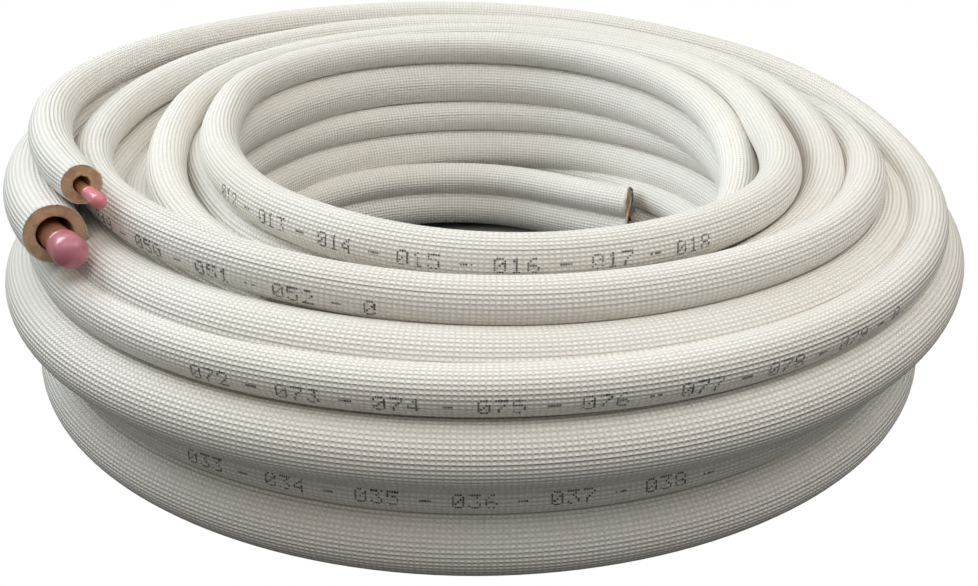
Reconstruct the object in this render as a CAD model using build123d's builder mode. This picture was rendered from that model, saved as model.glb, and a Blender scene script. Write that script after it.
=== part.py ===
from build123d import *
from math import ceil, cos, degrees, hypot, radians, sin, sqrt
import os

# A coil of twin insulated copper tube. A large and a small copper tube, each in its own foam sleeve, are wound
# side by side into a low ring that lies on the floor. Millimetres, +Z up, origin on the ring's axis at the floor.
# The wound sleeves are one turned solid, whose section is the outline of the stacked turns. The last turn climbs
# out of it and ends on top in two cut sleeves with capped copper tubes. The first turn's end bends into the bore.

# Copper tubes, their foam sleeves and their push-on caps
large_tube_d = 15.88
small_tube_d = 6.35
large_tube_wall = 1.0
small_tube_wall = 0.8
foam_wall = 8.1
large_slack = 2.8         # room around a copper tube in its sleeve
small_slack = 2.3
tube_seat = 0.3           # room left under the tube, which lies at the bottom of its hole
tube_depth = 70.0         # length of tube inside a cut sleeve
tube_recess = 2.0         # how far the tubes stand back inside the first turn's cut
large_tube_bare = 12.0    # bare tube between the last turn's cut and the cap
small_tube_bare = 11.0
cap_wall = 1.7
cap_slack = 0.15          # room between a cap and the tube inside it
large_cap_grip = 14.0     # length of tube inside the cap
small_cap_grip = 16.0
large_cap_end = 6.5       # thickness of the cap's domed end
small_cap_end = 4.0
large_cap_round = 6.0     # rounding of the cap's domed end
small_cap_round = 3.5

# The winding
bore_d = 366.0
inner_pairs = 3           # pairs of sleeves stacked up the wall of the bore
turn_nip = 0.4            # how far neighbouring sleeves press into each other
inner_nip = 5.5           # the same for those stacked up the wall of the bore
rim_out = 9.0             # how far the top pair there stands back from the wall
floor_nip = 1.0           # how far the foam flattens on the floor
outer_bulge = 8.5         # how far the outer layer's upper pair stands out past its lower pair
outer_inset = 2.5         # how far the outer layer's small sleeves stand in from its large ones
shoulder_up = 8.0         # how far the sleeve beside the outer layer's top one stands above it

# The last turn and its cut end
end_at = 218.0            # azimuth of the cut, in degrees
climb_at = 65.0           # azimuth where the last turn has climbed onto the winding, in degrees
climb_r = 160.0           # bend radius of the climb
climb_sweep = 50.0        # arc of the climb's bend, in degrees

# The first turn's cut end, bent away from the wall of the bore and then straight
spring_at = 150.0         # azimuth where the bend starts inside the wall, in degrees
spring_bury = 16.0        # how deep in the wall it starts
spring_lift = 3.0         # how far it lifts off the floor
spring_sweep = 80.0       # arc of the bend, in degrees
spring_clear = 6.0        # room between the cut and the wall of the bore across from it
spring_across_share = 0.91  # how far the straight's outer side keeps from the coil's axis, of the room there

large_tube_r = large_tube_d / 2
small_tube_r = small_tube_d / 2
large_hole_r = large_tube_r + large_slack
small_hole_r = small_tube_r + small_slack
large_r = large_hole_r + foam_wall
small_r = small_hole_r + foam_wall
large_drop = large_slack - tube_seat
small_drop = small_slack - tube_seat


def reach(first_r, second_r, nip=turn_nip):
    # distance between the middles of two sleeves that press on each other
    return first_r + second_r - nip


def rise(first_r, second_r, shift, nip=turn_nip):
    # one side of that distance, where the other side is a shift
    return sqrt(reach(first_r, second_r, nip) ** 2 - shift**2)


def seat(left, right, sleeve_r):
    # the place of a sleeve that lies on two others, where a place is (radius, height, sleeve radius)
    across, up = right[0] - left[0], right[1] - left[1]
    apart = hypot(across, up)
    to_left, to_right = reach(left[2], sleeve_r), reach(right[2], sleeve_r)
    along = (to_left**2 - to_right**2 + apart**2) / (2 * apart)
    out = sqrt(to_left**2 - along**2)
    seat_at = left[0] + (along * across - out * up) / apart
    seat_up = left[1] + (along * up + out * across) / apart
    return (seat_at, seat_up, sleeve_r)


# Inner wall: pairs stacked with their inner faces flush on the bore, but for the top pair, which rounds the rim
inner_column = [(bore_d / 2 + large_r, large_r - floor_nip, large_r)]
for turn in range(1, 2 * inner_pairs):
    sleeve_r = small_r if turn % 2 else large_r
    place_at = bore_d / 2 + sleeve_r + (rim_out if turn >= 2 * inner_pairs - 2 else 0)
    last_at, last_up, last_r = inner_column[-1]
    inner_column.append((place_at, last_up + rise(last_r, sleeve_r, place_at - last_at, inner_nip), sleeve_r))

# Bottom row: sleeves side by side on the floor, from the inner wall outwards
bottom_row = [inner_column[0]]
for sleeve_r in (small_r, large_r, large_r):
    last_at, last_up, last_r = bottom_row[-1]
    place_at = last_at + rise(last_r, sleeve_r, last_r - sleeve_r)
    bottom_row.append((place_at, sleeve_r - floor_nip, sleeve_r))

# Outer wall: two pairs, the upper one standing out
lower_at = bottom_row[-1][0]
upper_at = lower_at + outer_bulge
outer_column = [bottom_row[-1]]
for place_at, sleeve_r in (
    (lower_at - outer_inset, small_r),
    (upper_at, large_r),
    (upper_at - outer_inset, small_r),
):
    last_at, last_up, last_r = outer_column[-1]
    outer_column.append((place_at, last_up + rise(last_r, sleeve_r, place_at - last_at), sleeve_r))

# Shoulder: a large sleeve beside the outer wall's top one
wall_top = outer_column[-1]
shoulder = (wall_top[0] - rise(large_r, small_r, shoulder_up), wall_top[1] + shoulder_up, large_r)

# Top: small sleeves side by side on a straight slope from the inner wall to the shoulder
slope_from = inner_column[-1]
slope_across, slope_up = shoulder[0] - slope_from[0], shoulder[1] - slope_from[1]
small_step, large_step = reach(small_r, small_r), reach(small_r, large_r)
slope_turns = ceil((hypot(slope_across, slope_up) - large_step) / small_step)
slope_row = []
for turn in range(1, slope_turns + 1):
    turn_share = turn * small_step / (slope_turns * small_step + large_step)
    slope_row.append((slope_from[0] + turn_share * slope_across, slope_from[1] + turn_share * slope_up, small_r))

# Outline of the winding, from the foot of the inner wall over the top to the foot of the outer wall and back
outline = inner_column + slope_row + [shoulder] + outer_column[::-1] + bottom_row[-2:0:-1]

# Last turn: the large sleeve lies in the outer groove, and the small one on it and on a turn that rises beside it
end_large = seat(shoulder, wall_top, large_r)
raised_small = seat(slope_row[-1], shoulder, small_r)
end_small = seat(raised_small, end_large, small_r)
last_places = [end_large, end_small, raised_small]

# First turn: the lowest pair on the wall of the bore, its end starting deeper in the wall
first_large = (inner_column[0][0] + spring_bury, large_r + spring_lift, large_r)
first_small = (inner_column[1][0] + spring_bury, inner_column[1][1] + floor_nip + spring_lift, small_r)

# Its straight ends where its corner meets that room, across and along from the coil's axis, and its bend fits that
spring_room = bore_d / 2 - spring_clear
spring_across = spring_room * spring_across_share
spring_along = sqrt(spring_room**2 - spring_across**2)
swept_share, turned_share = cos(radians(spring_sweep)), sin(radians(spring_sweep))
spring_r = (spring_across - large_r - first_large[0] * swept_share) / (1 - swept_share)
spring_off = first_large[0] - spring_r
spring_length = spring_off * turned_share + spring_along


def upright(azimuth):
    # the plane through the coil's axis at an azimuth in degrees, x outwards and y up
    out_x, out_y = cos(radians(azimuth)), sin(radians(azimuth))
    return Plane((0, 0, 0), x_dir=(out_x, out_y, 0), z_dir=(out_y, -out_x, 0))


def climb_axis(place, azimuth):
    # the axis of a slanting bend that is level at the top of the climb and keeps to the turn seen from above
    level_share = climb_r / place[0]
    slant_share = sqrt(1 - level_share**2)
    out_x, out_y = cos(radians(azimuth)), sin(radians(azimuth))
    centre_at = place[0] - climb_r * level_share
    centre = (centre_at * out_x, centre_at * out_y, place[1] - climb_r * slant_share)
    return Axis(centre, (-slant_share * out_x, -slant_share * out_y, level_share))


def spring_axis():
    # the upright axis of the bend that the first turn's end follows
    return Axis((spring_off * cos(radians(spring_at)), spring_off * sin(radians(spring_at)), 0), (0, 0, 1))


def spring_plane(straight):
    # the upright plane across the first turn's end, a straight length past the bend
    bent = upright(spring_at - spring_sweep)
    return Plane(spring_axis().position, x_dir=bent.x_dir, z_dir=bent.z_dir).offset(straight)


def winding_section(azimuth, places):
    # the outline of the stacked turns, filled inside and flattened on the floor
    with BuildSketch(upright(azimuth)) as section:
        for place_at, place_up, sleeve_r in places:
            with Locations((place_at, place_up)):
                Circle(sleeve_r)
        with BuildLine():
            Polyline([(place_at, place_up) for place_at, place_up, _ in outline], close=True)
        make_face()
        Rectangle(upper_at + 2 * large_r, large_r, align=(Align.MIN, Align.MAX), mode=Mode.SUBTRACT)
    return section.sketch


def arc_of(length, turn_r):
    # the angle, in degrees, that a length takes up on a bend
    return degrees(length / turn_r)


def tube_place(place, tube_drop):
    # a copper tube lies at the bottom of the hole in its sleeve
    return (place[0], place[1] - tube_drop)


def on_bend(place):
    # a place on the first turn's end, measured from the bend's own axis
    return (spring_r + place[0] - first_large[0], place[1], place[2])


# The first turn's end: both sleeves bent from the wall of the bore and then straight, with the holes at their cut
with BuildPart() as spring:
    with BuildSketch(upright(spring_at)):
        for place in (first_large, first_small):
            with Locations(place[:2]):
                Circle(place[2])
    revolve(axis=spring_axis(), revolution_arc=-spring_sweep)
    with BuildSketch(spring_plane(0)):
        for place in (first_large, first_small):
            with Locations(on_bend(place)[:2]):
                Circle(place[2])
    extrude(amount=spring_length)
    for place, hole_r in ((first_large, large_hole_r), (first_small, small_hole_r)):
        with BuildSketch(spring_plane(spring_length)):
            with Locations(on_bend(place)[:2]):
                Circle(hole_r)
        extrude(amount=-tube_depth, mode=Mode.SUBTRACT)

# The wound sleeves
with BuildPart() as foam_sleeves:
    # the turned winding: with the last turn on it as far as the cut, and without it on the rest of the ring
    with_end = winding_section(climb_at, outline + last_places)
    revolve(with_end, axis=Axis.Z, revolution_arc=end_at - climb_at)
    revolve(winding_section(end_at, outline), axis=Axis.Z, revolution_arc=360 - end_at + climb_at)

    # the last turn's climb out of the winding, and where the turn beside it sinks back
    for place in last_places:
        with BuildSketch(upright(climb_at)):
            with Locations(place[:2]):
                Circle(place[2])
        revolve(axis=climb_axis(place, climb_at), revolution_arc=-climb_sweep)
    with BuildSketch(upright(end_at)):
        with Locations(raised_small[:2]):
            Circle(small_r)
    revolve(axis=climb_axis(raised_small, end_at), revolution_arc=climb_sweep)

    # the holes at the last turn's cut
    for place, hole_r in ((end_large, large_hole_r), (end_small, small_hole_r)):
        with BuildSketch(upright(end_at)):
            with Locations(place[:2]):
                Circle(hole_r)
        revolve(axis=Axis.Z, revolution_arc=-arc_of(tube_depth, place[0]), mode=Mode.SUBTRACT)

    # the first turn's end
    add(spring.part)

foam_sleeves.part.label = "foam_sleeves"


def copper_tube(end_place, first_place, tube_r, tube_wall, tube_drop, tube_out):
    # the two ends of one hollow tube: one stands straight out of the last turn's cut, and the other stays
    # just inside the first turn's cut
    with BuildPart() as tube:
        with BuildSketch(upright(end_at)) as end_ring:
            with Locations(tube_place(end_place, tube_drop)):
                Circle(tube_r)
                Circle(tube_r - tube_wall, mode=Mode.SUBTRACT)
        extrude(amount=-tube_out)
        revolve(end_ring.sketch, axis=Axis.Z, revolution_arc=-arc_of(tube_depth, end_place[0]))
        with BuildSketch(spring_plane(spring_length - tube_recess)):
            with Locations(tube_place(on_bend(first_place), tube_drop)):
                Circle(tube_r)
                Circle(tube_r - tube_wall, mode=Mode.SUBTRACT)
        extrude(amount=tube_recess - tube_depth)
    return tube


def end_cap(place, tube_r, tube_drop, tube_bare, cap_grip, cap_end, cap_round):
    # a straight push-on cup over the tube, with a domed end
    mouth = upright(end_at).offset(-tube_bare)
    with BuildPart() as cap:
        with BuildSketch(mouth):
            with Locations(tube_place(place, tube_drop)):
                Circle(tube_r + cap_slack + cap_wall)
        extrude(amount=-cap_grip - cap_slack - cap_end)
        tip = cap.faces().sort_by(Axis(mouth.origin, mouth.z_dir))[0]
        fillet(tip.edges(), cap_round)
        with BuildSketch(mouth):
            with Locations(tube_place(place, tube_drop)):
                Circle(tube_r + cap_slack)
        extrude(amount=-cap_grip - cap_slack, mode=Mode.SUBTRACT)
    return cap


large_tube_out = large_tube_bare + large_cap_grip
large_copper_tube = copper_tube(
    end_large, first_large, large_tube_r, large_tube_wall, large_drop, large_tube_out
)
large_copper_tube.part.label = "large_copper_tube"

small_tube_out = small_tube_bare + small_cap_grip
small_copper_tube = copper_tube(
    end_small, first_small, small_tube_r, small_tube_wall, small_drop, small_tube_out
)
small_copper_tube.part.label = "small_copper_tube"

large_end_cap = end_cap(
    end_large, large_tube_r, large_drop, large_tube_bare, large_cap_grip, large_cap_end, large_cap_round
)
large_end_cap.part.label = "large_end_cap"

small_end_cap = end_cap(
    end_small, small_tube_r, small_drop, small_tube_bare, small_cap_grip, small_cap_end, small_cap_round
)
small_end_cap.part.label = "small_end_cap"

os.makedirs("parts", exist_ok=True)
export_step(foam_sleeves.part, "parts/foam_sleeves.step")
export_step(large_copper_tube.part, "parts/large_copper_tube.step")
export_step(small_copper_tube.part, "parts/small_copper_tube.step")
export_step(large_end_cap.part, "parts/large_end_cap.step")
export_step(small_end_cap.part, "parts/small_end_cap.step")
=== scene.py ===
import math
import bpy
import numpy as np
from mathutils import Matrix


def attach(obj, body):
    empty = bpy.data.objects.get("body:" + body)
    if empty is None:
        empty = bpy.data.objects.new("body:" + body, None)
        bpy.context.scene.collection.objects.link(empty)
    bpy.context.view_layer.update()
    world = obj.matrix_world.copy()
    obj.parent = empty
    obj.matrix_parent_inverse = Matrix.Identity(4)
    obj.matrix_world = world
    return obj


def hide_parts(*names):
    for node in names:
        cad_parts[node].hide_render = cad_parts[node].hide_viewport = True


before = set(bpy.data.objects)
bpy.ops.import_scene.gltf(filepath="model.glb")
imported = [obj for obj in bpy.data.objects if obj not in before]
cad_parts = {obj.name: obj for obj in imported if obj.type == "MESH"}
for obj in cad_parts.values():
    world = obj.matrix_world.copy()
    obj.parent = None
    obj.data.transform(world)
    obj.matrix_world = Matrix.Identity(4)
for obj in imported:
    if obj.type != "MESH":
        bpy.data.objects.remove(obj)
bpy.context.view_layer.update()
rng = np.random.default_rng(7)
mm = 0.001
upward = np.array([0.0, 0.0, 1.0])

# Places of the wound pair: azimuth in degrees, counted on from turn to turn (0 is +X, 90 the
# back, 270 the front), then radius and height of the small and of the large sleeve, in mm
windingPlaces = np.array([
    # first turn on the floor, along the inner wall
    (-2364, 191.2, 48.2, 196.4, 21.8), (-2335, 194, 47.7, 198.5, 20), (-2290, 199, 47, 202.5, 18),
    (-2100, 200, 47, 203, 18),
    # bottom layer outwards, then a full turn at the foot of the outer wall
    (-2040, 234, 46, 236, 18), (-1740, 234, 46, 236, 18), (-1680, 266, 47, 268, 18),
    (-1380, 266, 47, 268, 18), (-1320, 298, 49, 302, 18), (-1260, 300, 49, 303, 18),
    (-1170, 298, 49, 301, 18), (-1125, 297.5, 50, 299.5, 18), (-1080, 299, 51, 300, 18),
    (-1020, 301, 50, 303, 18), (-960, 298, 50, 302, 19),
    # middle layer inwards, hidden but for its last turn on the inner wall
    (-890, 282, 78, 278, 50), (-660, 280, 80, 276, 52), (-610, 246, 84, 244, 56), (-460, 244, 86, 242, 58),
    (-400, 208, 96, 208, 67), (-360, 204, 97, 206, 67), (-315, 205, 97, 206, 67), (-270, 206, 97, 206, 67),
    (-225, 206, 97, 206, 67), (-180, 198, 97, 200, 67), (-135, 200, 97, 202, 67), (-90, 204, 97, 206, 67),
    # top layer outwards: up the right of the bore, round its rim and out to the last turn
    (-45, 194, 108, 203, 78), (0, 185, 132, 198, 102), (45, 202, 150, 206, 120), (90, 216, 157, 216, 126),
    (120, 220, 157, 218, 126), (150, 207, 156, 207, 126), (180, 187, 153, 198, 128),
    (210, 189, 151, 191, 120), (240, 209, 150, 206, 120), (270, 232, 149, 218, 119),
    (315, 226, 147, 222, 117), (360, 206, 148, 228, 117), (405, 240, 152, 240, 122),
    (450, 270, 154, 258, 124), (495, 256, 152, 258, 122), (540, 222.5, 146, 239, 114),
    (585, 230, 128, 248, 108), (630, 246, 116, 250, 86), (675, 244, 126, 254, 98),
    (720, 243, 140, 262, 112), (765, 272, 150, 278, 120), (810, 297, 157, 288, 126),
    (855, 292, 155, 290, 122), (900, 272, 149, 266, 118), (945, 265, 148, 284, 119),
    (990, 261, 137, 282, 113), (1035, 265, 136, 283, 110), (1080, 272, 135, 288, 108),
    (1125, 302, 122, 304, 92), (1170, 316, 108, 312, 78), (1215, 312, 110, 312, 79),
    (1260, 301, 112.5, 312, 83), (1305, 302, 110, 314, 81), (1350, 305.5, 111.5, 312, 80),
    (1395, 308.5, 114, 314, 83), (1440, 309, 123, 321, 92), (1485, 322, 146, 319, 115),
    (1530, 322, 164, 314, 135), (1575, 320, 168, 320, 140), (1620, 300, 169, 304.5, 142.5),
    (1638, 290, 169, 302.5, 143.5), (1650, 286.9, 169.1, 304.2, 143.7), (1658, 286.5, 169.1, 305.9, 143.7),
], float)
azimuthStep = 0.5  # degrees between the points worked out along the turns

# The first turn's end leaves the bore's wall in a wide bend and runs straight to its cut, in degrees and mm
springSpec = {"at": 156.0, "sweep": 95.4, "turnRadius": 196.4, "bendRadius": 165.2, "straight": 86.0,
              "points": 60}


def smoothAt(knots, values, at):
    # cubic through the values, with the slope at each knot weighed from both sides
    step = np.diff(knots)
    rise = np.diff(values) / step
    between = (rise[:-1] * step[1:] + rise[1:] * step[:-1]) / (step[:-1] + step[1:])
    slope = np.concatenate([rise[:1], between, rise[-1:]])
    i = np.clip(np.searchsorted(knots, at, side="right") - 1, 0, len(knots) - 2)
    t = (at - knots[i]) / step[i]
    return ((1 + 2 * t) * (1 - t) ** 2 * values[i] + t * (1 - t) ** 2 * step[i] * slope[i]
            + t * t * (3 - 2 * t) * values[i + 1] + t * t * (t - 1) * step[i] * slope[i + 1])


def unit(v):
    return v / np.linalg.norm(v, axis=-1, keepdims=True)


def alongPath(at, lengths, values):
    # each of the three coordinates at the given lengths along a path
    return np.stack([np.interp(at, lengths, values[:, k]) for k in range(3)], -1)


def ringSpokes(outward, up, angle):
    # directions round a path, outward cos a + up sin a, for every ring and every angle
    return outward[:, None] * np.cos(angle)[None, :, None] + up[:, None] * np.sin(angle)[None, :, None]


def springLine(radius):
    # bend about an upright axis, middle + (radius - inset) (cos a, sin a), and on along its tangent to the cut
    start, finish = springSpec["at"] - springSpec["sweep"], springSpec["at"]
    turn = math.radians(finish)
    inset = (springSpec["turnRadius"] - springSpec["bendRadius"]) * mm
    middle = inset * np.array([math.cos(turn), math.sin(turn)])
    bend = np.radians(np.linspace(start, finish, springSpec["points"]))[:, None]
    bent = middle + (radius - inset) * np.concatenate([np.cos(bend), np.sin(bend)], 1)
    tangent = np.array([math.sin(bend[0, 0]), -math.cos(bend[0, 0])])
    straight = bent[0] + tangent * np.linspace(springSpec["straight"] * mm, 0, springSpec["points"])[:, None]
    return np.concatenate([straight[:-1], bent[:-1]])


def windingPath(column, spacing):
    # the middle line of one sleeve at even spacing: places, azimuths, lengths and the directions of its rings
    azimuth = np.arange(windingPlaces[0, 0], windingPlaces[-1, 0] + azimuthStep / 2, azimuthStep)
    radius = smoothAt(windingPlaces[:, 0], windingPlaces[:, column], azimuth) * mm
    height = smoothAt(windingPlaces[:, 0], windingPlaces[:, column + 1], azimuth) * mm
    turn = np.radians(azimuth)
    line = np.stack([radius * np.cos(turn), radius * np.sin(turn), height], -1)
    spring = springLine(radius[0])
    line = np.concatenate([np.column_stack([spring, np.full(len(spring), height[0])]), line])
    azimuth = np.concatenate([azimuth[0] - np.arange(len(spring), 0, -1) * azimuthStep, azimuth])
    length = np.concatenate([[0], np.cumsum(np.linalg.norm(np.diff(line, axis=0), axis=1))])
    even = np.linspace(0, length[-1], int(length[-1] / spacing) + 1)
    place = alongPath(even, length, line)
    onward = unit(np.gradient(place, axis=0))
    outward = unit(np.cross(onward, upward))
    return {"place": place, "azimuth": np.interp(even, length, azimuth), "length": even,
            "outward": outward, "up": np.cross(outward, onward), "onward": onward}


def addPiece(name, data):
    piece = bpy.data.objects.new(name, data)
    bpy.context.scene.collection.objects.link(piece)
    return piece


def gridPiece(name, rows, lengthUv, materialOfRow, materials):
    # a closed tube of rings: rows has the shape (rings, around, 3), and a point closes each end
    rings, around = rows.shape[:2]
    firstPoint, lastPoint = rings * around, rings * around + 1
    points = np.concatenate([rows.reshape(-1, 3), rows[0].mean(0)[None], rows[-1].mean(0)[None]])
    ring, col = np.meshgrid(np.arange(rings - 1), np.arange(around), indexing="ij")
    nextCol = (col + 1) % around
    quads = np.stack([ring * around + col, ring * around + nextCol,
                      (ring + 1) * around + nextCol, (ring + 1) * around + col], -1).reshape(-1, 4)
    c = np.arange(around)
    lastRing = (rings - 1) * around
    first = np.stack([np.full(around, firstPoint), (c + 1) % around, c], -1)
    last = np.stack([np.full(around, lastPoint), lastRing + c, lastRing + (c + 1) % around], -1)
    mesh = bpy.data.meshes.new(name)
    mesh.vertices.add(len(points))
    mesh.vertices.foreach_set("co", points.astype(np.float32).ravel())
    corners = np.concatenate([quads.ravel(), first.ravel(), last.ravel()])
    mesh.loops.add(len(corners))
    mesh.loops.foreach_set("vertex_index", corners.astype(np.int32))
    totals = np.concatenate([np.full(len(quads), 4), np.full(2 * around, 3)])
    starts = np.concatenate([[0], np.cumsum(totals)[:-1]])
    mesh.polygons.add(len(totals))
    mesh.polygons.foreach_set("loop_start", starts.astype(np.int32))
    mesh.polygons.foreach_set("loop_total", totals.astype(np.int32))
    mesh.polygons.foreach_set("use_smooth", np.ones(len(totals), bool))
    slotOf = np.concatenate([np.repeat(materialOfRow, around), np.repeat(materialOfRow[[0, -1]], around)])
    mesh.polygons.foreach_set("material_index", slotOf.astype(np.int32))
    # the piece's UV: metres along the tube and the share of the way round it
    u = np.stack([lengthUv[ring], lengthUv[ring], lengthUv[ring + 1], lengthUv[ring + 1]], -1).ravel()
    v = np.stack([col, col + 1, col + 1, col], -1).ravel() / around
    endU = np.repeat([lengthUv[0], lengthUv[-1]], 3 * around)
    endV = np.stack([[c + 0.5, c + 1, c], [c + 0.5, c, c + 1]]).transpose(0, 2, 1).ravel() / around
    uv = np.stack([np.concatenate([u, endU]), np.concatenate([v, endV])], -1)
    mesh.uv_layers.new(name="run").data.foreach_set("uv", uv.astype(np.float32).ravel())
    for material in materials:
        mesh.materials.append(material)
    mesh.update(calc_edges=True)
    mesh.validate()
    return addPiece(name, mesh)


def standFor(piece, node):
    # the piece takes the place of a CAD node
    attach(piece, "root")
    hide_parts(node)


def newMaterial(name):
    material = bpy.data.materials.new(name)
    material.use_nodes = True
    nodes, links = material.node_tree.nodes, material.node_tree.links
    return material, nodes, links, nodes["Principled BSDF"]


def feed(links, socket, value):
    # a plain value is set on the socket, another node's output is linked to it
    if isinstance(value, (int, float, tuple)):
        socket.default_value = value
    else:
        links.new(value, socket)


def mathNode(nodes, links, kind, first, second=None):
    node = nodes.new("ShaderNodeMath")
    node.operation = kind
    feed(links, node.inputs[0], first)
    if second is not None:
        feed(links, node.inputs[1], second)
    return node.outputs[0]


def rangeNode(nodes, links, value, fromLow, fromHigh, toLow, toHigh, kind="SMOOTHSTEP"):
    node = nodes.new("ShaderNodeMapRange")
    node.interpolation_type = kind
    links.new(value, node.inputs["Value"])
    labels = ("From Min", "From Max", "To Min", "To Max")
    for label, number in zip(labels, (fromLow, fromHigh, toLow, toHigh)):
        node.inputs[label].default_value = number
    return node.outputs["Result"]


def noiseNode(nodes, links, place, scale, detail):
    node = nodes.new("ShaderNodeTexNoise")
    node.inputs["Scale"].default_value = scale
    node.inputs["Detail"].default_value = detail
    links.new(place, node.inputs["Vector"])
    return node.outputs["Fac"]


def mixNode(nodes, links, share, first, second):
    # a colour between two others: share 0 gives the first, 1 the second
    node = nodes.new("ShaderNodeMix")
    node.data_type = "RGBA"
    for socket, value in zip((node.inputs[0], node.inputs[6], node.inputs[7]), (share, first, second)):
        feed(links, socket, value)
    return node.outputs[2]


def bumpNode(nodes, links, height, strength, depth):
    node = nodes.new("ShaderNodeBump")
    node.inputs["Strength"].default_value = strength
    node.inputs["Distance"].default_value = depth
    links.new(height, node.inputs["Height"])
    return node.outputs["Normal"]


def objectPlace(nodes):
    return nodes.new("ShaderNodeTexCoord").outputs["Object"]


def cloudyColour(nodes, links, spec):
    # two tones of one colour in soft patches
    cloud = noiseNode(nodes, links, objectPlace(nodes), spec["cloudScale"], spec["cloudDetail"])
    share = rangeNode(nodes, links, cloud, *spec["cloudRange"], 0.0, 1.0)
    return mixNode(nodes, links, share, spec["dark"], spec["light"])


# Embossed film: rows of domed beads, height = max(0, 1 - (1 - a)^2 - (1 - b)^2) with a and b from 0 in the
# groove to 1 on top, and a mask of the grooves
beadGroup = bpy.data.node_groups.new("beadGrid", "ShaderNodeTree")
for label, direction in (("Along", "INPUT"), ("Around", "INPUT"), ("Height", "OUTPUT"), ("Groove", "OUTPUT")):
    beadGroup.interface.new_socket(label, in_out=direction, socket_type="NodeSocketFloat")


def buildBeadGroup(nodes, links, grooveTo):
    inlet, outlet = nodes.new("NodeGroupInput"), nodes.new("NodeGroupOutput")
    domes = []
    for label in ("Along", "Around"):
        wave = mathNode(nodes, links, "PINGPONG", inlet.outputs[label], 0.5)
        wave = mathNode(nodes, links, "MULTIPLY", wave, 2.0)
        domes.append(mathNode(nodes, links, "MULTIPLY", wave, mathNode(nodes, links, "SUBTRACT", 2.0, wave)))
    both = mathNode(nodes, links, "ADD", *domes)
    bead = mathNode(nodes, links, "MAXIMUM", mathNode(nodes, links, "SUBTRACT", both, 1.0), 0.0)
    links.new(bead, outlet.inputs["Height"])
    links.new(rangeNode(nodes, links, bead, 0.0, grooveTo, 1.0, 0.0), outlet.inputs["Groove"])


buildBeadGroup(beadGroup.nodes, beadGroup.links, grooveTo=0.5)

# the grey-brown tone and its share are painted shade that darkens the grooves between the beads
skinSpec = {
    "dark": (0.89, 0.86, 0.79, 1), "light": (0.92, 0.90, 0.845, 1), "cloudScale": 7.0, "cloudDetail": 3.0,
    "cloudRange": (0.35, 0.65), "paintedGrooveShade": (0.50, 0.45, 0.37, 1), "paintedGrooveShadeShare": 0.35, "relief": 0.7 * mm,
    "rowStretch": 1.6, "rowApart": 3.7, "rowRange": (0.54, 0.74), "creaseTo": 0.5, "creaseDepth": 0.5,
    "roughness": 0.55, "gloss": 0.35,
}


def skinMaterial(name, beadsAlong, beadsAround):
    # cream film: bead relief, deeper creases between some rows, painted shade darkening the grooves
    material, nodes, links, shader = newMaterial(name)
    uv = nodes.new("ShaderNodeUVMap")
    uv.uv_map = "run"
    split = nodes.new("ShaderNodeSeparateXYZ")
    links.new(uv.outputs["UV"], split.inputs["Vector"])
    along = mathNode(nodes, links, "MULTIPLY", split.outputs["X"], beadsAlong)
    around = mathNode(nodes, links, "MULTIPLY", split.outputs["Y"], beadsAround)
    grid = nodes.new("ShaderNodeGroup")
    grid.node_tree = beadGroup
    links.new(along, grid.inputs["Along"])
    links.new(around, grid.inputs["Around"])
    # rows of unlike strength: noise stretched far along the tube, one value a row
    rowPlace = nodes.new("ShaderNodeCombineXYZ")
    nearestRow = mathNode(nodes, links, "ROUND", around)
    stretched = mathNode(nodes, links, "MULTIPLY", split.outputs["X"], skinSpec["rowStretch"])
    links.new(stretched, rowPlace.inputs["X"])
    links.new(mathNode(nodes, links, "MULTIPLY", nearestRow, skinSpec["rowApart"]), rowPlace.inputs["Y"])
    rowNoise = noiseNode(nodes, links, rowPlace.outputs["Vector"], 1.0, 1.0)
    rowStrong = rangeNode(nodes, links, rowNoise, *skinSpec["rowRange"], 0.0, 1.0)
    rowEdge = mathNode(nodes, links, "MULTIPLY", mathNode(nodes, links, "PINGPONG", around, 0.5), 2.0)
    edgeDepth = rangeNode(nodes, links, rowEdge, 0.0, skinSpec["creaseTo"], skinSpec["creaseDepth"], 0.0)
    crease = mathNode(nodes, links, "MULTIPLY", edgeDepth, rowStrong)
    height = mathNode(nodes, links, "SUBTRACT", grid.outputs["Height"], crease)
    links.new(bumpNode(nodes, links, height, 1.0, skinSpec["relief"]), shader.inputs["Normal"])
    # colour: clean beads, grooves darkened by painted shade, cloudy patches of cream
    paintedGrooveShadeShare = mathNode(nodes, links, "MULTIPLY", grid.outputs["Groove"], skinSpec["paintedGrooveShadeShare"])
    colour = mixNode(nodes, links, paintedGrooveShadeShare, cloudyColour(nodes, links, skinSpec), skinSpec["paintedGrooveShade"])
    links.new(colour, shader.inputs["Base Color"])
    shader.inputs["Roughness"].default_value = skinSpec["roughness"]
    shader.inputs["Specular IOR Level"].default_value = skinSpec["gloss"]
    return material


foamSpec = {
    "dark": (0.40, 0.24, 0.14, 1), "light": (0.70, 0.47, 0.31, 1), "poreScale": 1400.0,
    "poreRange": (0.0, 0.6, 0.55, 1.0), "blotchScale": 160.0, "blotchDetail": 4.0,
    "blotchRange": (0.3, 0.7, 0.45, 1.0), "reliefShare": 0.8, "relief": 0.4 * mm,
    "roughness": 0.95, "gloss": 0.1,
}


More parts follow.
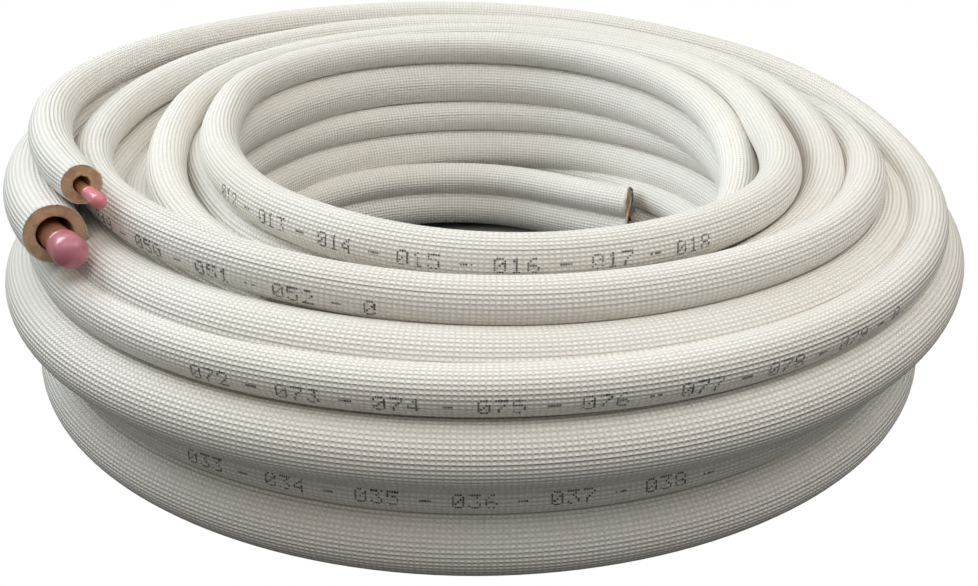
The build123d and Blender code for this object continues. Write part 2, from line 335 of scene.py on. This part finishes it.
def foamMaterial(name):
    # tan cellular foam at a cut: pores and streaks
    material, nodes, links, shader = newMaterial(name)
    place = objectPlace(nodes)
    pore = nodes.new("ShaderNodeTexVoronoi")
    pore.inputs["Scale"].default_value = foamSpec["poreScale"]
    links.new(place, pore.inputs["Vector"])
    blotch = noiseNode(nodes, links, place, foamSpec["blotchScale"], foamSpec["blotchDetail"])
    poreTone = rangeNode(nodes, links, pore.outputs["Distance"], *foamSpec["poreRange"])
    blotchTone = rangeNode(nodes, links, blotch, *foamSpec["blotchRange"])
    mixed = mathNode(nodes, links, "MULTIPLY", poreTone, blotchTone)
    links.new(mixNode(nodes, links, mixed, foamSpec["dark"], foamSpec["light"]), shader.inputs["Base Color"])
    relief = bumpNode(nodes, links, mixed, foamSpec["reliefShare"], foamSpec["relief"])
    links.new(relief, shader.inputs["Normal"])
    shader.inputs["Roughness"].default_value = foamSpec["roughness"]
    shader.inputs["Specular IOR Level"].default_value = foamSpec["gloss"]
    return material


foamCut = foamMaterial("foamCut")
print("stage: helpers and foam ready")

# Both sleeves: swells in their thickness as (share, radians a metre, shift), and their cuts, lengths in mm
waverSpec = {"swells": ((0.012, 9.0, 0.0), (0.008, 23.0, 1.3)), "oval": 0.015, "ovalTurn": 2.1,
             "drawReach": 18.0}
cutSpec = {
    "holeDepths": (60.0, 30.0, 12.0, 5.0, 1.2), "faceShares": (0.0, 0.12, 0.3, 0.5, 0.7, 0.88, 0.97),
    "ragged": 0.25, "fringe": 0.3, "fringeShare": 0.3, "filmOut": 0.3, "filmFlare": 0.2,
    "slants": (0.26, 0.0),  # at the first and the last cut
}


def sleeveRadius(spec, length, angle, whole):
    # the sleeve swells and thins a little along its length, is pressed slightly out of round and draws in at
    # its last cut: radius * swell * oval * (1 - drawn * exp(-distance from the cut / reach))
    swell = 1 + sum(share * np.sin(length * rate + shift) for share, rate, shift in waverSpec["swells"])
    oval = 1 + waverSpec["oval"] * np.cos(2 * (angle - length * waverSpec["ovalTurn"]))
    drawn = spec["drawn"] * np.exp((length - whole) / (waverSpec["drawReach"] * mm))
    return spec["radius"] * swell * oval * (1 - drawn)


def cutRows(hole, outer, centre, spoke, inward, angle, slant):
    # rings from the hole's bottom to the film's edge, centre + spoke r + inward d,
    # with a ragged face a little aslant
    rows = [centre + spoke * hole + inward * depth * mm for depth in cutSpec["holeDepths"]]
    lean = slant * np.cos(angle)
    for share in cutSpec["faceShares"]:
        ragged = rng.normal(0, cutSpec["ragged"] * mm, len(angle))
        radius = hole + (outer - hole) * share
        rows.append(centre + spoke * radius[:, None] + inward * (ragged + lean * radius)[:, None])
    fringe = rng.normal(0, cutSpec["fringe"] * mm, len(angle))
    flare = outer + cutSpec["filmFlare"] * mm + cutSpec["fringeShare"] * fringe
    edge = lean * outer - cutSpec["filmOut"] * mm - fringe
    rows.append(centre + spoke * flare[:, None] + inward * edge[:, None])
    return np.array(rows)


def sleevePiece(spec):
    # rings along the path, place + r (outward cos a + up sin a); at each end they turn in over the cut face
    # and go down the hole
    path = windingPath(spec["column"], spec["spacing"])
    place, length, onward = path["place"], path["length"], path["onward"]
    angle = np.linspace(0, 2 * np.pi, spec["around"], endpoint=False)
    spokes = ringSpokes(path["outward"], path["up"], angle)
    skinRadius = sleeveRadius(spec, length[:, None], angle[None], length[-1])
    skin = place[:, None] + spokes * skinRadius[..., None]
    skin[..., 2] = np.maximum(skin[..., 2], 0)  # flattened where it lies on the floor
    hole, slants = spec["hole"], cutSpec["slants"]
    first = cutRows(hole, skinRadius[0], place[0], spokes[0], onward[0], angle, slants[0])
    last = cutRows(hole, skinRadius[-1], place[-1], spokes[-1], -onward[-1], angle, slants[1])
    rows = np.concatenate([first, skin, last[::-1]])
    lengthUv = np.concatenate([np.full(len(first), length[0]), length, np.full(len(last), length[-1])])
    materialOfRow = np.zeros(len(rows) - 1, int)
    materialOfRow[:len(first) - 2] = 1
    materialOfRow[2 - len(last):] = 1
    film = skinMaterial(spec["name"] + "Skin", 1 / spec["beadPitch"], spec["beadRows"])
    piece = gridPiece(spec["name"], rows, lengthUv, materialOfRow, [film, foamCut])
    standFor(piece, "foam_sleeves")
    print("stage: sleeve", spec["name"], len(piece.data.polygons))
    return path


largeSleeveSpec = {"name": "largeSleeve", "column": 3, "radius": 18.6 * mm, "hole": 10.5 * mm, "drawn": 0.06,
                   "spacing": 10.5 * mm, "around": 48, "beadPitch": 3.1 * mm, "beadRows": 46}
largePath = sleevePiece(largeSleeveSpec)

smallSleeveSpec = {"name": "smallSleeve", "column": 1, "radius": 13.4 * mm, "hole": 5.0 * mm, "drawn": 0.15,
                   "spacing": 10.5 * mm, "around": 44, "beadPitch": 3.1 * mm, "beadRows": 34}
smallPath = sleevePiece(smallSleeveSpec)

# Ink marks on the small sleeve: plain running numbers in dots, 5 wide and 7 high
dotRows = {
    "0": "01110 10001 10011 10101 11001 10001 01110", "1": "00100 01100 00100 00100 00100 00100 01110",
    "2": "01110 10001 00001 00010 00100 01000 11111", "3": "11111 00010 00100 00010 00001 10001 01110",
    "4": "00010 00110 01010 10010 11111 00010 00010", "5": "11111 10000 11110 00001 00001 10001 01110",
    "6": "00110 01000 10000 11110 10001 10001 01110", "7": "11111 00001 00010 00100 01000 01000 01000",
    "8": "01110 10001 10001 01110 10001 10001 01110", "9": "01110 10001 10001 01111 00001 00010 01100",
    "-": "00000 00000 00000 11111 00000 00000 00000", " ": "00000 00000 00000 00000 00000 00000 00000",
}
markSpec = {
    "name": "lengthMarks", "pitch": 1.25 * mm, "advance": 8.0 * mm, "dot": 0.68 * mm, "lift": 0.12 * mm,
    "corners": 8, "missing": 0.08, "dotSizes": (0.7, 1.1), "form": "%03d - ",
    "runs": [  # azimuths of start and end, angle above the sleeve's outer side, first number
        {"from": 222, "to": 302, "angle": 5, "first": 12},
        {"from": 926, "to": 981, "angle": -9, "first": 48},
        {"from": 1323, "to": 1397, "angle": -7, "first": 72},
        {"from": -1200, "to": -1144, "angle": 2, "first": 33},
        {"from": 1064, "to": 1078, "angle": 10, "first": 66},
    ],
    "dark": (0.09, 0.085, 0.08, 1), "light": (0.30, 0.29, 0.28, 1), "cloudScale": 260.0, "cloudDetail": 2.0,
    "cloudRange": (0.35, 0.75), "roughness": 0.8,
}


def markDots():
    # the length along the sleeve, the angle round it and the size of every dot
    lengths, angles = [], []
    signLength = len(markSpec["form"] % 0)
    for run in markSpec["runs"]:
        start, stop = np.interp([run["from"], run["to"]], smallPath["azimuth"], smallPath["length"])
        count = int((stop - start) / markSpec["advance"])
        numbers = range(run["first"], run["first"] + count // signLength + 1)
        text = "".join(markSpec["form"] % number for number in numbers)[:count]
        for k, sign in enumerate(text):
            dots = np.array([[int(c) for c in row] for row in dotRows[sign].split()])
            row, col = np.nonzero(dots)
            up = len(dots) // 2 - row
            lengths.append(start + k * markSpec["advance"] + col * markSpec["pitch"])
            angles.append(math.radians(run["angle"]) + up * markSpec["pitch"] / smallSleeveSpec["radius"])
    lengths, angles = np.concatenate(lengths), np.concatenate(angles)
    kept = rng.random(len(lengths)) > markSpec["missing"]
    return lengths[kept], angles[kept], markSpec["dot"] * rng.uniform(*markSpec["dotSizes"], kept.sum())


def inkMaterial(name):
    # grey ink, fading in patches
    material, nodes, links, shader = newMaterial(name)
    links.new(cloudyColour(nodes, links, markSpec), shader.inputs["Base Color"])
    shader.inputs["Roughness"].default_value = markSpec["roughness"]
    return material


def markPiece():
    # flat dots on the film: centre + size (onward cos a + across sin a)
    length, angle, size = markDots()
    place, outward, up, onward = (alongPath(length, smallPath["length"], smallPath[key])
                                  for key in ("place", "outward", "up", "onward"))
    cosine, sine = np.cos(angle)[:, None], np.sin(angle)[:, None]
    away, across = outward * cosine + up * sine, up * cosine - outward * sine
    out = sleeveRadius(smallSleeveSpec, length, angle, smallPath["length"][-1]) + markSpec["lift"]
    centre = place + away * out[:, None]
    corner = np.linspace(0, 2 * np.pi, markSpec["corners"], endpoint=False)
    points = centre[:, None] + size[:, None, None] * ringSpokes(onward, across, corner)
    mesh = bpy.data.meshes.new(markSpec["name"])
    mesh.from_pydata(points.reshape(-1, 3), [], np.arange(points.size // 3).reshape(-1, markSpec["corners"]))
    mesh.materials.append(inkMaterial("greyInk"))
    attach(addPiece(markSpec["name"], mesh), "root")
    print("stage: marks", len(length))


markPiece()

# Caps on the outer ends: sizes in mm, colours of each plastic
capForm = {
    "lip": 0.3, "lipAt": 0.9, "lipWidth": 0.7, "mouthDepths": (4.0, 0.1, 0.0), "mouthOut": (0.0, 0.1, 0.4),
    "tipShare": 0.08, "wallRings": 22, "domeRings": 14, "around": 40, "roughness": 0.28, "coat": 0.3,
}
largeCapSpec = {
    "name": "largeCap", "node": "large_end_cap", "slot": "large_cap_plastic", "azimuth": 218.0,
    "radius": 305.9, "height": 141.2, "bare": 12.0, "tube": 8.05, "neck": 9.0, "bulb": 9.8,
    "shoulder": 12.6, "length": 21.4,
    "light": (0.62, 0.235, 0.29, 1), "dark": (0.50, 0.16, 0.20, 1), "cloudScale": 90.0, "cloudDetail": 2.0,
    "cloudRange": (0.3, 0.7),
}
smallCapSpec = {
    "name": "smallCap", "node": "small_end_cap", "slot": "small_cap_plastic", "azimuth": 218.0,
    "radius": 286.5, "height": 167.1, "bare": 11.0, "tube": 3.3, "neck": 4.1, "bulb": 4.5,
    "shoulder": 15.6, "length": 20.3,
    "light": (0.72, 0.22, 0.25, 1), "dark": (0.60, 0.17, 0.20, 1), "cloudScale": 90.0, "cloudDetail": 2.0,
    "cloudRange": (0.3, 0.7),
}


def capPlastic(spec):
    # glossy moulded plastic, a little uneven in colour
    material, nodes, links, shader = newMaterial(spec["name"] + "Plastic")
    links.new(cloudyColour(nodes, links, spec), shader.inputs["Base Color"])
    shader.inputs["Roughness"].default_value = capForm["roughness"]
    shader.inputs["Coat Weight"].default_value = capForm["coat"]
    return material


def endDirections(spec):
    # outward and onward at the azimuth of the last turn's cut
    turn = math.radians(spec["azimuth"])
    return np.array([math.cos(turn), math.sin(turn), 0]), np.array([-math.sin(turn), math.cos(turn), 0])


def capPiece(spec):
    # a turned cup with a lip, swelling to a bulb:
    # r(s) = (neck + (bulb - neck) sin^2(pi s / 2 shoulder) + lip(s)) dome(s),
    # where dome(s) = sqrt(1 - ((s - shoulder) / (length - shoulder))^2) past the shoulder
    outward, onward = endDirections(spec)
    mouth = (outward * spec["radius"] + onward * spec["bare"] + upward * spec["height"]) * mm
    shoulder, domeLength = spec["shoulder"], spec["length"] - spec["shoulder"]
    quarter = np.linspace(0, np.pi / 2, capForm["domeRings"])[1:-1]
    wallAlong = np.linspace(0, shoulder, capForm["wallRings"])
    along = np.concatenate([wallAlong, shoulder + domeLength * np.sin(quarter)])
    swell = np.sin(np.pi / 2 * np.clip(along / shoulder, 0, 1)) ** 2
    lip = capForm["lip"] * np.exp(-((along - capForm["lipAt"]) / capForm["lipWidth"]) ** 2)
    dome = np.sqrt(1 - np.clip((along - shoulder) / domeLength, 0, 1) ** 2)
    radius = (spec["neck"] + (spec["bulb"] - spec["neck"]) * swell + lip) * dome
    # the first rings come up the mouth, and the last is close to the tip
    along = np.concatenate([capForm["mouthDepths"], along, [spec["length"]]])
    mouthRadius = spec["tube"] + np.array(capForm["mouthOut"])
    radius = np.concatenate([mouthRadius, radius, [capForm["tipShare"] * spec["bulb"]]])
    angle = np.linspace(0, 2 * np.pi, capForm["around"], endpoint=False)
    spokes = ringSpokes(outward[None], upward[None], angle)
    rows = mouth + onward * along[:, None, None] * mm + spokes * radius[:, None, None] * mm
    piece = gridPiece(spec["name"], rows, along * mm, np.zeros(len(rows) - 1, int), [capPlastic(spec)])
    standFor(piece, spec["node"])


capPiece(largeCapSpec)
capPiece(smallCapSpec)
print("stage: caps")

# Copper tubes: only the two ends of each, because the sleeves hide the rest, sizes in mm
copperSpec = {"dark": (0.50, 0.23, 0.11, 1), "light": (0.80, 0.46, 0.28, 1), "cloudScale": 120.0,
              "cloudDetail": 4.0, "cloudRange": (0.35, 0.65), "metal": 0.75, "roughness": 0.45}
largeTubeSpec = {"name": "largeTube", "node": "large_copper_tube", "wall": 7.94, "bore": 6.94, "drop": 2.5,
                 "depth": 70.0, "recess": 2.0, "out": 26.0, "around": 32, "rings": 30, "outRings": 14}
smallTubeSpec = {"name": "smallTube", "node": "small_copper_tube", "wall": 3.175, "bore": 2.375, "drop": 2.0,
                 "depth": 70.0, "recess": 2.0, "out": 27.0, "around": 32, "rings": 30, "outRings": 14}


def copperMaterial(name):
    # drawn copper gone brown, with lighter rubbed patches
    material, nodes, links, shader = newMaterial(name)
    links.new(cloudyColour(nodes, links, copperSpec), shader.inputs["Base Color"])
    shader.inputs["Metallic"].default_value = copperSpec["metal"]
    shader.inputs["Roughness"].default_value = copperSpec["roughness"]
    return material


copper = copperMaterial("dullCopper")


def tubeEnd(spec, name, line, openFirst):
    # one end of a hollow tube: rings line + r (outward cos a + up sin a), along its wall
    # and half way down its bore
    outward = unit(np.cross(np.gradient(line, axis=0), upward))
    angle = np.linspace(0, 2 * np.pi, spec["around"], endpoint=False)
    spokes = ringSpokes(outward, np.broadcast_to(upward, outward.shape), angle)
    wall, bore = (line[:, None] + spokes * spec[key] * mm for key in ("wall", "bore"))
    deep = len(line) // 2
    rows = np.concatenate([bore[deep::-1], wall] if openFirst else [wall, bore[:deep:-1]])
    piece = gridPiece(name, rows, np.arange(len(rows)) * mm, np.zeros(len(rows) - 1, int), [copper])
    standFor(piece, spec["node"])


def tubeEnds(spec, cap, path):
    # the capped end follows the last turn and stands straight out; the other stays back in the first cut
    radius = cap["radius"] * mm
    back = math.radians(cap["azimuth"]) - np.linspace(spec["depth"], 0, spec["rings"]) * mm / radius
    height = np.full(spec["rings"], cap["height"] * mm)
    arc = np.stack([radius * np.cos(back), radius * np.sin(back), height], -1)
    out = arc[-1] + endDirections(cap)[1] * np.linspace(0, spec["out"], spec["outRings"])[1:, None] * mm
    tubeEnd(spec, spec["name"] + "Capped", np.concatenate([arc, out]), False)
    inside = np.linspace(spec["recess"], spec["depth"], spec["rings"]) * mm
    line = alongPath(inside, path["length"], path["place"]) - upward * spec["drop"] * mm
    tubeEnd(spec, spec["name"] + "Cut", line, True)


tubeEnds(largeTubeSpec, largeCapSpec, largePath)
tubeEnds(smallTubeSpec, smallCapSpec, smallPath)
print("stage: tubes")

# Stage: white floor, soft light from above, camera, all in metres
# bore: painted light, a glow seen by the camera in the middle of the bore that fades out near its wall
floorSpec = {"size": 12.0, "tone": (0.10, 0.10, 0.10, 1), "roughness": 0.9,
             "outside": (0.24, 0.28, 0.0, 1.0), "bore": (0.08, 0.178, 0.8, 0.0)}
skySpec = {"colour": (1.0, 0.99, 0.96, 1), "low": 0.05, "high": 0.90}


def pickForCamera(nodes, links, share, plain, seen, output):
    # one shader for the light that falls on things, another for what the camera sees
    pick = nodes.new("ShaderNodeMixShader")
    links.new(share, pick.inputs[0])
    links.new(plain, pick.inputs[1])
    links.new(seen, pick.inputs[2])
    links.new(pick.outputs["Shader"], nodes[output].inputs["Surface"])


def cameraRay(nodes):
    return nodes.new("ShaderNodeLightPath").outputs["Is Camera Ray"]


def floorMaterial(name):
    # seen as white outside the coil; in the bore a painted glow, pale in the middle and fading out towards its
    # wall
    material, nodes, links, shader = newMaterial(name)
    shader.inputs["Base Color"].default_value = floorSpec["tone"]
    shader.inputs["Roughness"].default_value = floorSpec["roughness"]
    glow = nodes.new("ShaderNodeEmission")
    glow.inputs["Strength"].default_value = 1.0
    fromAxis = nodes.new("ShaderNodeVectorMath")
    fromAxis.operation = "LENGTH"
    links.new(objectPlace(nodes), fromAxis.inputs[0])
    outside = rangeNode(nodes, links, fromAxis.outputs["Value"], *floorSpec["outside"])
    # painted light: a glow in the bore's middle, fading out towards its wall
    bore = rangeNode(nodes, links, fromAxis.outputs["Value"], *floorSpec["bore"])
    pale = mathNode(nodes, links, "MAXIMUM", outside, bore)
    share = mathNode(nodes, links, "MULTIPLY", cameraRay(nodes), pale)
    pickForCamera(nodes, links, share, shader.outputs["BSDF"], glow.outputs["Emission"], "Material Output")
    return material


half = floorSpec["size"] / 2
floorCorners = [(-half, -half, 0), (half, -half, 0), (half, half, 0), (-half, half, 0)]
floorMesh = bpy.data.meshes.new("floor")
floorMesh.from_pydata(floorCorners, [], [(0, 1, 2, 3)])
floorMesh.materials.append(floorMaterial("whiteFloor"))
floor = addPiece("floor", floorMesh)


def buildSky(nodes, links):
    # white to the camera, a soft light that is brighter overhead to everything else
    seen, soft = nodes["Background"], nodes.new("ShaderNodeBackground")
    seen.inputs["Color"].default_value = (1, 1, 1, 1)
    seen.inputs["Strength"].default_value = 1.0
    soft.inputs["Color"].default_value = skySpec["colour"]
    way = nodes.new("ShaderNodeSeparateXYZ")
    links.new(nodes.new("ShaderNodeTexCoord").outputs["Generated"], way.inputs["Vector"])
    strength = rangeNode(nodes, links, way.outputs["Z"], 0.0, 1.0, skySpec["low"], skySpec["high"], "LINEAR")
    links.new(strength, soft.inputs["Strength"])
    light, backdrop = soft.outputs["Background"], seen.outputs["Background"]
    pickForCamera(nodes, links, cameraRay(nodes), light, backdrop, "World Output")


world = bpy.data.worlds.new("studio")
bpy.context.scene.world = world
world.use_nodes = True
buildSky(world.node_tree.nodes, world.node_tree.links)

lampSpecs = [  # spread in degrees, power in watts
    {"name": "softTop", "at": (0, -0.7, 1.5), "aim": (0, 0, 0), "size": (1.6, 0.8), "power": 5.6,
     "spread": 180, "colour": (1, 0.98, 0.94)},
    {"name": "softLeft", "at": (-1.25, 0.45, 1.1), "aim": (0, 0, 0.1), "size": (0.9, 0.9), "power": 16,
     "spread": 180, "colour": (0.82, 0.92, 1)},
    {"name": "softRight", "at": (1.1, -0.1, 1.4), "aim": (0, 0, 0.1), "size": (0.9, 0.9), "power": 6.5,
     "spread": 180, "colour": (1, 0.97, 0.92)},
    {"name": "boreFill", "at": (-0.13, -0.04, 0.22), "aim": (0.19, 0.02, 0.10), "size": (0.08, 0.08),
     "power": 0.07, "spread": 80, "colour": (0.86, 0.94, 1)},
]
for spec in lampSpecs:
    lamp = bpy.data.lights.new(spec["name"], "AREA")
    lamp.shape = "RECTANGLE"
    lamp.size, lamp.size_y = spec["size"]
    lamp.energy = spec["power"]
    lamp.color = spec["colour"]
    lamp.spread = math.radians(spec["spread"])
    holder = addPiece(spec["name"], lamp)
    holder.visible_camera = False
    away = unit(np.array(spec["at"]) - np.array(spec["aim"]))
    holder.location = spec["at"]
    holder.rotation_euler = (math.acos(away[2]), 0, math.atan2(away[1], away[0]) + math.pi / 2)

cameraSpec = {"at": (0.0054, -0.739, 0.375), "down": 26.0, "lens": 38.65, "sensor": 36.0, "nearest": 0.01}
lens = bpy.data.cameras.new("viewer")
lens.lens = cameraSpec["lens"]
lens.sensor_width = cameraSpec["sensor"]
lens.clip_start = cameraSpec["nearest"]
viewer = addPiece("viewer", lens)
viewer.location = cameraSpec["at"]
viewer.rotation_euler = (math.radians(90 - cameraSpec["down"]), 0, 0)
bpy.context.scene.camera = viewer
bpy.context.scene.view_settings.view_transform = "Standard"
print("stage: light and camera")
